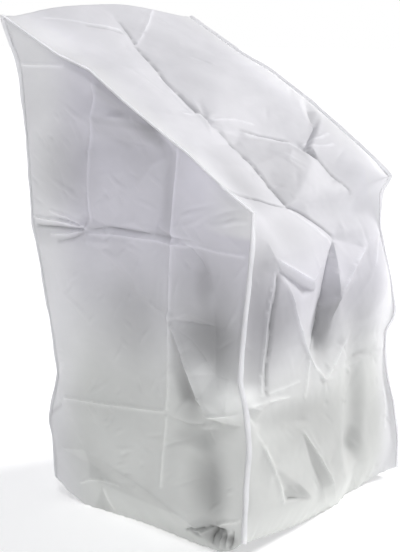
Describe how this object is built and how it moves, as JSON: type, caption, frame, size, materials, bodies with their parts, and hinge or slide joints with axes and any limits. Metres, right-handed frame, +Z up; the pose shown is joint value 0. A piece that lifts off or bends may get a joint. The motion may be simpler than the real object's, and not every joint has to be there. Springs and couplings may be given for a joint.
{
  "type": "fitted cover for a stack of garden chairs",
  "caption": "Thin white film cover for stacked garden chairs, with a high back, a sloping top, a low front, bound side seams and an elastic hem.",
  "frame": {"origin": "middle of the cover's box, at the height of the hem's lowest point", "axes": "+Z up, the low front faces -Y, the high back faces +Y, the left side panel is at -X"},
  "size_m": [0.7094, 0.7776, 1.2804],
  "materials": {
    "film": "thin milky film, creased, satin",
    "tape": "white bound seam tape"
  },
  "bodies": {
    "root": {"long_strip": "film", "side_panel_left": "film", "side_panel_right": "film", "seam_tape_left": "tape", "seam_tape_right": "tape"}
  },
  "joints": []
}
